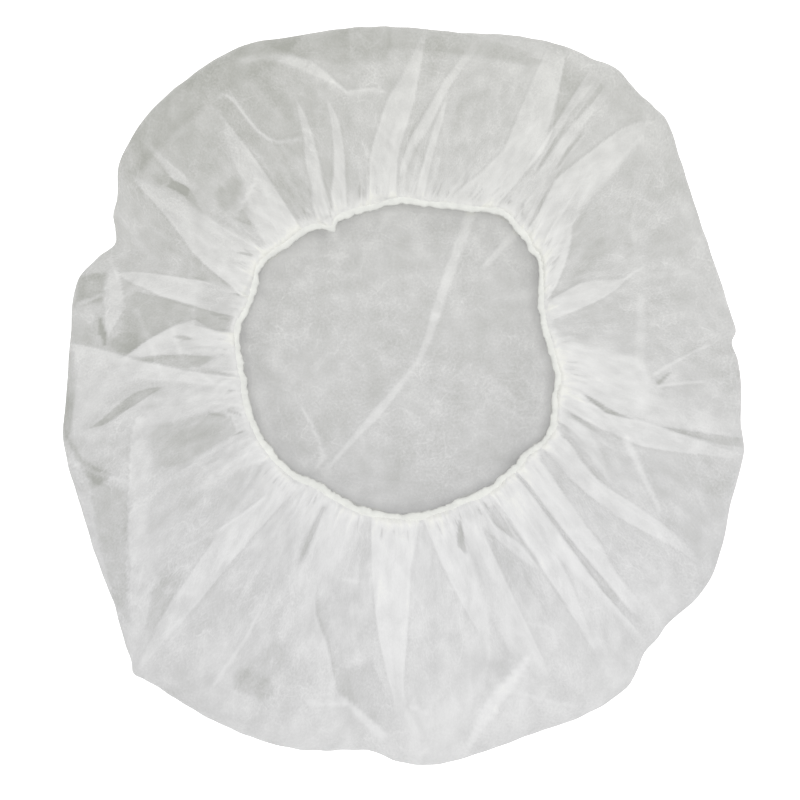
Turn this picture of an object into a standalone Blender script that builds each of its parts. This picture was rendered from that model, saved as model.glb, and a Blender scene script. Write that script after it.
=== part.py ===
"""Under-helmet cap: a round nonwoven sheet gathered on an elastic hem, lying crown down and mouth up."""
import math

import bmesh
import bpy
from mathutils import Vector

# Driving sizes in metres. The cap lies on z = 0, with X across it and Y from the wearer's nape to the brow.
CAP_WIDTH = 0.332
CAP_LENGTH = 0.360
RIM_HEIGHT = 0.014      # rolled outer edge, where the crown turns up into the brim
RIM_DEPTH = 0.009       # how far the roll reaches in from the outline
BRIM_BULGE = 0.007      # how far the brim puffs up between the hem and the rim
PLEAT_RISE = 0.0075     # the tallest pleat above the brim
SHEET_WALL = 0.0012
MOUTH_WIDTH = 0.149     # clear opening inside the hem
MOUTH_LENGTH = 0.150
MOUTH_RISE = 0.0125     # middle of the hem above the floor
HEM_WIDTH = 0.0054
HEM_HEIGHT = 0.0048
HEM_GRIP = 0.0027       # how far the sheet's edge reaches into the hem
CREASE_RISE = 0.0020    # folds left in the crown by packing
CREASE_WIDTH = 0.0045
CLEARANCE = 0.0003

# The outline from above, by bearing in degrees from +X round the mouth's middle.
# Reaches are shares of one length that CAP_WIDTH and CAP_LENGTH settle between them.
OUTLINE = (
    # bearing, reach
    (0, 0.956), (8, 0.945), (18, 0.931), (27, 0.942), (35, 0.973), (42, 1.013), (53, 1.024),
    (62, 1.001), (70, 0.973), (78, 0.942), (86, 0.937), (97, 0.945), (108, 0.959), (116, 0.987),
    (128, 0.990), (138, 0.982), (145, 0.956), (150, 0.911), (155, 0.872), (157.5, 0.860), (161, 0.891),
    (166, 0.928), (175, 0.922), (185, 0.934), (193, 0.965), (205, 0.982), (212, 1.007), (220, 1.041),
    (226, 1.095), (230, 1.151), (234, 1.137), (247, 1.137), (255, 1.131), (262, 1.103), (266, 1.092),
    (270, 1.128), (275, 1.142), (283, 1.126), (290, 1.117), (298, 1.128), (305, 1.123), (310, 1.078),
    (316, 1.061), (323, 1.075), (330, 1.052), (337, 1.018), (345, 1.007), (350, 0.979), (355, 0.970),
)

# The mouth's inner edge, with reaches as shares of its mean half width.
MOUTH = (
    # bearing, reach
    (0, 0.974), (10, 0.955), (20, 0.968), (26, 1.000), (33, 1.070), (46, 1.122), (52, 1.141), (60, 1.096),
    (68, 1.032), (80, 1.006), (92, 1.000), (104, 0.981), (114, 0.955), (132, 1.013), (144, 1.058),
    (152, 1.032), (165, 1.019), (178, 0.987), (200, 1.000), (215, 0.994), (228, 0.968), (238, 0.929),
    (246, 0.955), (258, 0.981), (272, 0.987), (290, 0.968), (305, 0.981), (320, 0.994), (336, 1.051),
    (345, 1.019),
)

# Each pleat starts at the hem between two bearings, leans and narrows to its tip, and dies at its reach,
# a share of the way to the rim. Bend 1 leans evenly, and more than 1 leans mostly near the hem.
# Crest says which side of the pleat is steep, and rise is a share of PLEAT_RISE.
PLEATS = (
    # low, high, tip, tip_width, reach, bend, crest, rise
    (1.0, 8.0, 3.0, 3.0, 0.42, 1.0, -1, 0.60),
    (15.0, 22.3, 19.7, 1.6, 0.55, 1.0, 1, 0.80),
    (27.0, 35.0, 40.0, 1.6, 0.45, 1.2, -1, 0.70),
    (37.0, 45.5, 43.5, 3.0, 0.97, 1.5, 1, 0.95),
    (46.5, 52.5, 52.0, 2.0, 0.85, 1.5, 1, 0.65),
    (53.5, 56.5, 55.5, 1.8, 1.00, 1.0, 1, 0.55),
    (57.5, 70.0, 62.0, 3.0, 0.95, 2.5, 1, 1.00),
    (80.0, 83.0, 79.5, 1.6, 0.50, 1.0, -1, 0.45),
    (86.6, 89.4, 75.8, 1.6, 0.93, 1.2, 1, 0.50),
    (90.0, 97.0, 85.5, 1.8, 0.93, 2.5, -1, 0.85),
    (104.5, 108.5, 104.5, 1.6, 0.58, 1.0, 1, 0.60),
    (112.3, 117.0, 110.5, 1.6, 0.72, 1.5, -1, 0.65),
    (126.0, 134.0, 125.8, 1.6, 0.72, 1.2, -1, 0.85),
    (139.0, 154.0, 145.3, 2.0, 0.87, 1.2, 1, 1.00),
    (157.2, 165.3, 162.8, 1.6, 0.87, 1.0, 1, 0.85),
    (170.5, 178.0, 179.5, 1.8, 0.62, 1.0, -1, 0.85),
    (182.3, 187.3, 190.0, 2.0, 0.90, 1.0, 1, 0.70),
    (188.4, 195.0, 194.0, 2.0, 0.85, 1.0, -1, 0.65),
    (205.5, 210.0, 206.5, 1.6, 0.50, 1.0, -1, 0.60),
    (211.0, 215.5, 212.5, 1.6, 0.40, 1.0, 1, 0.55),
    (219.5, 231.6, 229.6, 2.0, 1.00, 1.0, 1, 1.00),
    (232.8, 241.0, 232.8, 1.8, 0.55, 1.0, -1, 0.75),
    (244.0, 255.5, 259.0, 2.0, 0.80, 0.8, 1, 0.95),
    (263.0, 274.0, 268.5, 2.4, 0.72, 1.0, -1, 0.95),
    (279.5, 287.5, 286.5, 1.8, 0.50, 1.0, -1, 0.75),
    (290.3, 296.5, 293.0, 2.2, 0.80, 1.0, -1, 0.80),
    (297.6, 301.5, 302.6, 1.6, 0.42, 1.0, 1, 0.50),
    (304.8, 308.6, 305.2, 1.6, 0.85, 1.0, -1, 0.60),
    (309.6, 316.0, 310.9, 1.8, 1.00, 1.5, 1, 0.85),
    (317.3, 325.5, 314.2, 2.0, 0.95, 2.0, -1, 0.85),
    (328.0, 337.0, 326.5, 3.0, 1.00, 3.0, 1, 0.95),
    (338.3, 342.0, 334.0, 1.6, 0.35, 1.5, 1, 0.50),
    (343.0, 348.8, 344.0, 2.4, 1.00, 2.5, 1, 0.80),
    (349.8, 354.0, 348.0, 1.8, 0.92, 2.0, -1, 0.60),
    (355.2, 359.8, 356.0, 2.4, 0.45, 1.0, 1, 0.60),
)
CREST_SHARE = 0.3       # of a pleat's width, from its steep side to its crest
PLEAT_SWELL = 0.16      # share of a pleat's run in which it rises from the hem
PLEAT_FADE = 0.65       # under 1, a pleat keeps its height for longer towards its tip
LEAST_STEP = 0.55       # degrees between neighbouring fold lines

# Folds across the crown: places from the mouth's middle in the outline's own shares, and heights as
# shares of CREASE_RISE.
CROWN_CREASES = (
    # (across, along, height), ...
    ((0.235, 0.520, 0.0), (0.203, 0.415, 1.0), (0.066, 0.014, 0.9), (-0.100, -0.185, 0.7),
     (-0.195, -0.300, 0.0)),
    ((0.365, 0.400, 0.0), (0.333, 0.361, 0.8), (0.234, 0.257, 0.0)),
)

STEEPEST = 0.5          # a wall is made even up to this share of its face turned along the wall's way
# Where the brim is drawn, as shares of the way from the hem to the rim.
BRIM_RINGS = (0.08, 0.2, 0.36, 0.55, 0.77, 1.0)
# The rolled rim's section, in degrees from the floor-side quarter to the brim-side one.
RIM_ANGLES = (45, 0, -45, -90)


def clear_scene():
    for thing in list(bpy.data.objects):
        bpy.data.objects.remove(thing)


def reach_at(table, bearing):
    """Reach at a bearing, on a smooth closed curve through the table's rows."""
    count = len(table)
    turn = bearing % 360
    last = count - 1
    for row in range(count):
        if table[row][0] <= turn:
            last = row
    rows = []
    for step in (-1, 0, 1, 2):
        place = last + step
        angle, reach = table[place % count]
        rows.append((angle + 360 * (place // count), reach))
    (a0, r0), (a1, r1), (a2, r2), (a3, r3) = rows
    span = a2 - a1
    share = (turn - a1) / span
    slope_in = (r2 - r0) / (a2 - a0) * span
    slope_out = (r3 - r1) / (a3 - a1) * span
    square = share * share
    cube = square * share
    return ((2 * cube - 3 * square + 1) * r1 + (cube - 2 * square + share) * slope_in
            + (3 * square - 2 * cube) * r2 + (cube - square) * slope_out)


def keep_apart(bearings):
    """The bearings in order, with neighbours that come too close eased apart."""
    count = len(bearings)
    eased = list(bearings)
    for _ in range(60):
        for here in range(count):
            after = (here + 1) % count
            turn = 360 if after == 0 else 0
            short = LEAST_STEP - (eased[after] + turn - eased[here])
            if short > 0:
                eased[here] -= short / 2
                eased[after] += short / 2
    return eased


def fold_lines(share):
    """Bearings of all fold lines at a share of the way from hem to rim: four for each pleat."""
    edges = []
    for low, high, tip, tip_width, reach, bend, crest, _ in PLEATS:
        along = min(share / reach, 1)
        middle = (low + high) / 2
        middle += (tip - middle) * (1 - (1 - along) ** bend)
        width = (high - low) + (tip_width - (high - low)) * along
        foot = middle - width / 2
        ridge = foot + width * (CREST_SHARE if crest < 0 else 1 - CREST_SHARE)
        edges.append((foot, ridge, middle + width / 2))
    lines = []
    for place, (foot, ridge, end) in enumerate(edges):
        turn = 360 if place + 1 == len(edges) else 0
        next_foot = edges[(place + 1) % len(edges)][0] + turn
        lines += [foot, ridge, end, (end + next_foot) / 2]
    return keep_apart(lines)


def pleat_heights(share):
    """Height of each fold line above the plain brim at that share."""
    heights = []
    for _, _, _, _, reach, _, _, rise in PLEATS:
        along = min(share / reach, 1)
        swell = min(along / PLEAT_SWELL, 1)
        fade = (1 - along) ** PLEAT_FADE
        heights += [0.0, PLEAT_RISE * rise * swell * fade, 0.0, 0.0]
    return heights


def chart_point(bearing, reach):
    return Vector((math.cos(math.radians(bearing)) * reach, math.sin(math.radians(bearing)) * reach, 0))


def span_of(points):
    """Middle and size of the box round some points, across and along."""
    xs = [point.x for point in points]
    ys = [point.y for point in points]
    middle = Vector(((min(xs) + max(xs)) / 2, (min(ys) + max(ys)) / 2, 0))
    return middle, max(xs) - min(xs), max(ys) - min(ys)


ROOT_LINES = fold_lines(0.0)
RIM_LINES = fold_lines(1.0)
OUTLINE_MIDDLE, OUTLINE_ACROSS, OUTLINE_ALONG = span_of(
    [chart_point(bearing, reach_at(OUTLINE, bearing)) for bearing in RIM_LINES])
MOUTH_MIDDLE, MOUTH_ACROSS, MOUTH_ALONG = span_of(
    [chart_point(bearing, reach_at(MOUTH, bearing)) for bearing in ROOT_LINES])


def placed(chart):
    """A place in the outline's shares, as metres about the middle of the cap."""
    away = chart - OUTLINE_MIDDLE
    return Vector((away.x * CAP_WIDTH / OUTLINE_ACROSS, away.y * CAP_LENGTH / OUTLINE_ALONG, 0))


def outline_point(bearing, inset):
    """A point of the outline, moved in towards the mouth's middle."""
    middle = placed(Vector((0, 0, 0)))
    point = placed(chart_point(bearing, reach_at(OUTLINE, bearing)))
    return point - (point - middle).normalized() * inset


def hem_point(bearing, outward):
    """A point that far outside the mouth's inner edge."""
    away = chart_point(bearing, reach_at(MOUTH, bearing)) - MOUTH_MIDDLE
    away = Vector((away.x * MOUTH_WIDTH / MOUTH_ACROSS, away.y * MOUTH_LENGTH / MOUTH_ALONG, 0))
    return placed(Vector((0, 0, 0))) + away + away.normalized() * outward


def material(name, colour, roughness):
    made = bpy.data.materials.new(name)
    made.use_nodes = True
    shader = made.node_tree.nodes["Principled BSDF"]
    shader.inputs["Base Color"].default_value = (*colour, 1.0)
    shader.inputs["Roughness"].default_value = roughness
    shader.inputs["Metallic"].default_value = 0.0
    return made


def nonwoven_material():
    return material("white spunbond nonwoven", (0.72, 0.73, 0.72), 0.9)


def hem_material():
    return material("gathered elastic hem", (0.80, 0.79, 0.75), 0.8)


def new_ring(mesh, ring):
    """Extrudes the open edge on to the next ring of points."""
    grown = bmesh.ops.extrude_edge_only(mesh, edges=ring["edges"])
    found = [part for part in grown["geom"] if isinstance(part, bmesh.types.BMVert)]
    edges = [part for part in grown["geom"] if isinstance(part, bmesh.types.BMEdge)]
    after = {}
    for vert in found:
        for edge in vert.link_edges:
            other = edge.other_vert(vert)
            if other in ring["order"]:
                after[ring["order"][other]] = vert
    outer = [edge for edge in edges if all(vert in found for vert in edge.verts)]
    return {"edges": outer, "order": {vert: place for place, vert in after.items()}}


def move_ring(ring, points):
    for vert, place in ring["order"].items():
        vert.co = points[place]


def brim_rings(mesh, inward):
    """The sheet from its edge in the hem out over the brim and round the rolled rim."""
    count = len(ROOT_LINES)
    edge_height = MOUTH_RISE + SHEET_WALL / 2
    first = bmesh.ops.create_circle(mesh, segments=count, radius=MOUTH_WIDTH)["verts"]
    first.sort(key=lambda vert: math.atan2(vert.co.y, vert.co.x) % math.tau)
    ring = {"edges": list(mesh.edges), "order": {vert: place for place, vert in enumerate(first)}}
    down = Vector((0, 0, -1))
    level = Vector((0, 0, edge_height))
    move_ring(ring, [hem_point(bearing, HEM_WIDTH - HEM_GRIP) + level for bearing in ROOT_LINES])
    inward.update({vert: down for vert in ring["order"]})
    mouth_edges = ring["edges"]
    ring = new_ring(mesh, ring)
    leaving = HEM_WIDTH + 2 * CLEARANCE
    move_ring(ring, [hem_point(bearing, leaving) + level for bearing in ROOT_LINES])
    inward.update({vert: down for vert in ring["order"]})
    for share in BRIM_RINGS:
        ring = new_ring(mesh, ring)
        points = []
        slope = edge_height + (RIM_HEIGHT - edge_height) * share
        puff = BRIM_BULGE * math.sin(math.pi * share)
        for bearing, height in zip(fold_lines(share), pleat_heights(share)):
            start = hem_point(bearing, leaving)
            end = outline_point(bearing, RIM_DEPTH)
            points.append(start.lerp(end, share) + Vector((0, 0, slope + puff + height)))
        move_ring(ring, points)
        inward.update({vert: down for vert in ring["order"]})
    for angle in RIM_ANGLES:
        ring = new_ring(mesh, ring)
        turn = math.radians(angle)
        inset = RIM_DEPTH * (1 - math.cos(turn))
        height = RIM_HEIGHT / 2 * (1 + math.sin(turn))
        points = [outline_point(bearing, inset) + Vector((0, 0, height)) for bearing in RIM_LINES]
        move_ring(ring, points)
        for vert, place in ring["order"].items():
            out = outline_point(RIM_LINES[place], 0) - outline_point(RIM_LINES[place], RIM_DEPTH)
            out.normalize()
            inward[vert] = -(out * math.cos(turn) + Vector((0, 0, math.sin(turn))))
    return mouth_edges, ring["edges"]


def cut_crown(mesh, point, across):
    """Cuts the flat crown along one straight line."""
    flat = [face for face in mesh.faces if all(abs(vert.co.z) < 1e-7 for vert in face.verts)]
    parts = set(flat)
    for face in flat:
        parts.update(face.edges)
        parts.update(face.verts)
    bmesh.ops.bisect_plane(mesh, geom=list(parts), dist=1e-6, plane_co=point, plane_no=across)


def crease_height(path, point):
    """Height of a crown crease at a point: a tent that follows the path and fades to its ends."""
    best = 0.0
    for (start, low), (end, high) in zip(path, path[1:]):
        line = end - start
        along = (point - start).dot(line) / line.length_squared
        along = max(0.0, min(1.0, along))
        away = (point - (start + line * along)).length
        tent = 1 - away / (CREASE_WIDTH / 2)
        best = max(best, CREASE_RISE * (low + (high - low) * along) * tent)
    return best


def crown(mesh, rim_edges):
    """The flat crown inside the rim, with its packing creases raised as low ridges."""
    bmesh.ops.contextual_create(mesh, geom=rim_edges)
    paths = []
    for rows in CROWN_CREASES:
        paths.append([(placed(Vector((across, along, 0))), height) for across, along, height in rows])
    for path in paths:
        for (start, _), (end, _) in zip(path, path[1:]):
            side = (end - start).normalized().cross(Vector((0, 0, 1)))
            for offset in (-CREASE_WIDTH / 2, 0, CREASE_WIDTH / 2):
                cut_crown(mesh, start + side * offset, side)
            cut_crown(mesh, start, end - start)
            cut_crown(mesh, end, end - start)
    for vert in mesh.verts:
        if abs(vert.co.z) < 1e-7:
            vert.co.z = max(crease_height(path, vert.co) for path in paths)
    bmesh.ops.triangulate(mesh, faces=list(mesh.faces))


def add_wall(mesh, inward, mouth_edges):
    """Gives the sheet an even wall on the inside and closes it along the mouth."""
    up = Vector((0, 0, 1))
    mesh.normal_update()
    moves = {}
    for vert in mesh.verts:
        way = inward.get(vert, up)
        facing = [max(abs(face.normal.dot(way)), STEEPEST) for face in vert.link_faces]
        moves[vert] = way * SHEET_WALL * sum(1 / share for share in facing) / len(facing)
    copied = bmesh.ops.duplicate(mesh, geom=list(mesh.verts) + list(mesh.edges) + list(mesh.faces))
    for vert, move in moves.items():
        copied["vert_map"][vert].co = vert.co + move
    inner = [part for part in copied["geom"] if isinstance(part, bmesh.types.BMFace)]
    bmesh.ops.reverse_faces(mesh, faces=inner)
    inner_edges = [copied["edge_map"][edge] for edge in mouth_edges]
    bmesh.ops.bridge_loops(mesh, edges=list(mouth_edges) + inner_edges)


def finish(mesh, name, finish_material):
    """Turns the mesh into an object of that name, shaded smooth with its folds left sharp."""
    bmesh.ops.triangulate(mesh, faces=list(mesh.faces))
    bmesh.ops.recalc_face_normals(mesh, faces=list(mesh.faces))
    data = bpy.data.meshes.new(name)
    mesh.to_mesh(data)
    mesh.free()
    data.shade_smooth()
    data.set_sharp_from_angle(angle=math.radians(35))
    data.materials.append(finish_material)
    made = bpy.data.objects.new(name, data)
    bpy.context.scene.collection.objects.link(made)
    return made


def cap_body():
    """Crown, rolled rim and pleated brim: one sheet."""
    mesh = bmesh.new()
    inward = {}
    mouth_edges, rim_edges = brim_rings(mesh, inward)
    crown(mesh, rim_edges)
    add_wall(mesh, inward, mouth_edges)
    return finish(mesh, "cap_body", nonwoven_material())


def elastic_edge():
    """The gathered elastic hem: a roll whose slot holds the sheet's edge."""
    slot = SHEET_WALL / 2 + CLEARANCE
    slot_end = HEM_WIDTH - HEM_GRIP - CLEARANCE
    half = HEM_HEIGHT / 2
    section = (
        (0, half * 0.5),
        (HEM_WIDTH * 0.25, half),
        (HEM_WIDTH * 0.8, half),
        (HEM_WIDTH, slot),
        (slot_end, slot),
        (slot_end, -slot),
        (HEM_WIDTH, -slot),
        (HEM_WIDTH * 0.8, -half),
        (HEM_WIDTH * 0.25, -half),
        (0, -half * 0.5),
    )
    mesh = bmesh.new()
    first = bmesh.ops.create_circle(mesh, segments=len(ROOT_LINES), radius=MOUTH_WIDTH)["verts"]
    first.sort(key=lambda vert: math.atan2(vert.co.y, vert.co.x) % math.tau)
    ring = {"edges": list(mesh.edges), "order": {vert: place for place, vert in enumerate(first)}}
    first_edges = ring["edges"]
    for step, (outward, lift) in enumerate(section):
        if step > 0:
            ring = new_ring(mesh, ring)
        level = Vector((0, 0, MOUTH_RISE + lift))
        move_ring(ring, [hem_point(bearing, outward) + level for bearing in ROOT_LINES])
    bmesh.ops.bridge_loops(mesh, edges=first_edges + ring["edges"])
    return finish(mesh, "elastic_edge", hem_material())


clear_scene()
cap_body()
elastic_edge()
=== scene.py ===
"""A disposable nonwoven under-helmet cap, lying crown down with its gathered elastic mouth up."""

import math

import bmesh
import bpy
import numpy as np
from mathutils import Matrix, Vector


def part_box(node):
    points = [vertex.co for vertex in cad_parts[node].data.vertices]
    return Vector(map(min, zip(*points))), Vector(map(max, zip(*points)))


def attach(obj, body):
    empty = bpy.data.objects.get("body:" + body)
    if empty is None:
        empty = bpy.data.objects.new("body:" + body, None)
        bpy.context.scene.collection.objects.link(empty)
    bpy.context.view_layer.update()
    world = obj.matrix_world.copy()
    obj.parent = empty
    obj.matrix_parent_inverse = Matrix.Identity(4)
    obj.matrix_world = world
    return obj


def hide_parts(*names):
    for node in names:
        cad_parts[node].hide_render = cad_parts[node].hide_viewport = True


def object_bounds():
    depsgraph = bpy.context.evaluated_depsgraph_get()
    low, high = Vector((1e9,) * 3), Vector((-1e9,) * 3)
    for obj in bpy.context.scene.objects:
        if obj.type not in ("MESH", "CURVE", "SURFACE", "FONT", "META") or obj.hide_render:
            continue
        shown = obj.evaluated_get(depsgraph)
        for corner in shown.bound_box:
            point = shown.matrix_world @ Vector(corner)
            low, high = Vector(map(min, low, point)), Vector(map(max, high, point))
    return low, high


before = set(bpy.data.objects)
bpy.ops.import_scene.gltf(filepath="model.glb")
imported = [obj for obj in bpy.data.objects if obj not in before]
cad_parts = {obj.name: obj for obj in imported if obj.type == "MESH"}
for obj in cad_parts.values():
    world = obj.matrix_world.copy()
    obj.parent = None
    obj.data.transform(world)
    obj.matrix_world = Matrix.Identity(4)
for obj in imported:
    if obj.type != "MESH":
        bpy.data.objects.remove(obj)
cad_low, cad_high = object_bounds()
scene = bpy.context.scene

# Camera. The photo looks straight down on the cap from well above. A long lens keeps the rim and the mouth,
# which stands higher, at nearly one scale.
PHOTO_SPAN = 0.3899         # metres across the photo's frame, at the height where the cap is widest
WIDEST_AT = 0.007
CAMERA_PLACE = (-0.0017, -0.0020, 2.0)
SENSOR = 36.0
camera_data = bpy.data.cameras.new("camera")
camera_data.sensor_width = SENSOR
camera_data.lens = SENSOR * (CAMERA_PLACE[2] - WIDEST_AT) / PHOTO_SPAN
camera = bpy.data.objects.new("camera", camera_data)
camera.location = CAMERA_PLACE
scene.collection.objects.link(camera)
scene.camera = camera

# The cap's cloth: one disc of white spunbond nonwoven, die cut and gathered on elastic, so that it turns up
# round a rolled rim and lies back over the crown as a brim of pressed pleats. Pleats are several layers of
# the thin web, so they look whiter than bare cloth, and the gaps between them look greyer, partly with
# painted shade. The cloth's tones also hold painted light and shade: lighter towards -Y, whiter round the
# inside of the hem, and darker on the rim where it turns from the light.
MM = 0.001
SAME_PLACE = 1e-6           # points nearer than this are joined
CUT = 0.530                 # across the flat disc before it was gathered
BRIM_BULGE = 0.007          # how far the brim puffs up between the hem and the rim
RIM_DEPTH = 0.009           # how far the rolled rim reaches in from the outline
RIM_HEIGHT = 0.014
HEM_WIDTH = 0.0054
HEM_ROLL = 0.0015           # half the height of the rolled hem
HEM_TOP = HEM_ROLL * 1.08   # from the roll's middle to the cloth that leaves it
EDGE_IN_HEM = HEM_WIDTH * 0.32      # from the hem's inner edge to the sheet's edge inside the roll
FLOOR_GAP = 0.0003          # from the floor to the middle of the crown's cloth
SHARE_LENGTH = 173.8        # millimetres in one share of the outline's table
BRIM_LOOKS = 1.009          # the brim stands nearer the lens than the widest part, so it looks larger
BRIM_SHIFT = (0.0023, -0.0008)      # shares by which it also looks moved across and along

OUTLINE = (
    # bearing in degrees round the mouth's middle, reach as a share of the cap's mean half width
    (0, 0.956), (3, 0.940), (5, 0.955), (8, 0.945), (18, 0.931), (27, 0.942), (35, 0.973), (42, 1.015),
    (45, 1.014), (48, 1.012), (53, 1.026), (57, 1.012), (62, 1.001), (70, 0.973), (78, 0.942), (86, 0.937),
    (97, 0.945), (108, 0.959), (116, 0.987), (128, 0.990), (138, 0.982), (145, 0.956), (150, 0.911),
    (153, 0.897), (155, 0.877), (157.5, 0.860), (161, 0.891), (166, 0.928), (175, 0.922), (185, 0.934),
    (193, 0.965), (205, 0.982), (212, 1.007), (220, 1.047), (223, 1.073), (226, 1.105), (228.5, 1.130),
    (229.8, 1.152), (231.5, 1.146), (234, 1.139), (247, 1.137), (255, 1.131), (262, 1.107), (265, 1.100),
    (267, 1.106), (270, 1.128), (275, 1.142), (283, 1.126), (290, 1.117), (298, 1.128), (305, 1.123),
    (307.5, 1.103), (310, 1.078), (313, 1.069), (316, 1.061), (323, 1.075), (330, 1.052), (337, 1.018),
    (345, 1.007), (347.5, 0.993), (350, 0.979), (355, 0.970),
)
MOUTH = (
    # bearing, reach as a share of the cap's mean half width
    (0, 0.427), (10, 0.414), (20, 0.417), (26, 0.437), (33, 0.469), (37, 0.482), (40, 0.479), (44, 0.489),
    (48, 0.489), (52, 0.497), (56, 0.496), (60, 0.479), (64, 0.462), (68, 0.452), (74, 0.444), (80, 0.436),
    (88, 0.439), (92, 0.436), (96, 0.428), (104, 0.424), (112, 0.421), (114.3, 0.415), (115.6, 0.404),
    (116.8, 0.403), (118, 0.411), (119.2, 0.422), (122, 0.432), (126, 0.437), (132, 0.439), (140, 0.453),
    (146, 0.460), (152, 0.443), (160, 0.437), (168, 0.449), (172, 0.445), (176, 0.438), (184, 0.430),
    (188, 0.424), (192, 0.427), (200, 0.432), (215, 0.430), (228, 0.423), (232, 0.414), (237, 0.403),
    (242, 0.408), (248, 0.412), (258, 0.422), (274, 0.430), (284, 0.427), (290, 0.425), (296, 0.424),
    (305, 0.432), (309, 0.436), (313, 0.431), (320, 0.437), (324, 0.436), (329, 0.452), (336, 0.463),
    (342, 0.451), (348, 0.441), (354, 0.444),
)
LEAN = (
    # bearing, how far the pleats there lean sideways for each step outwards
    (0, -0.10), (18, 0.07), (35, 0.39), (50, 0.10), (64, -0.30), (85, -0.25), (116, -0.22), (133, -0.20),
    (148, 0.0), (174, 0.05), (190, -0.25), (208, -0.05), (225, 0.11), (251, 0.05), (268, 0.0), (285, 0.10),
    (295, -0.03), (310, -0.05), (324, -0.29), (333, -0.31), (348, -0.23),
)
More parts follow.
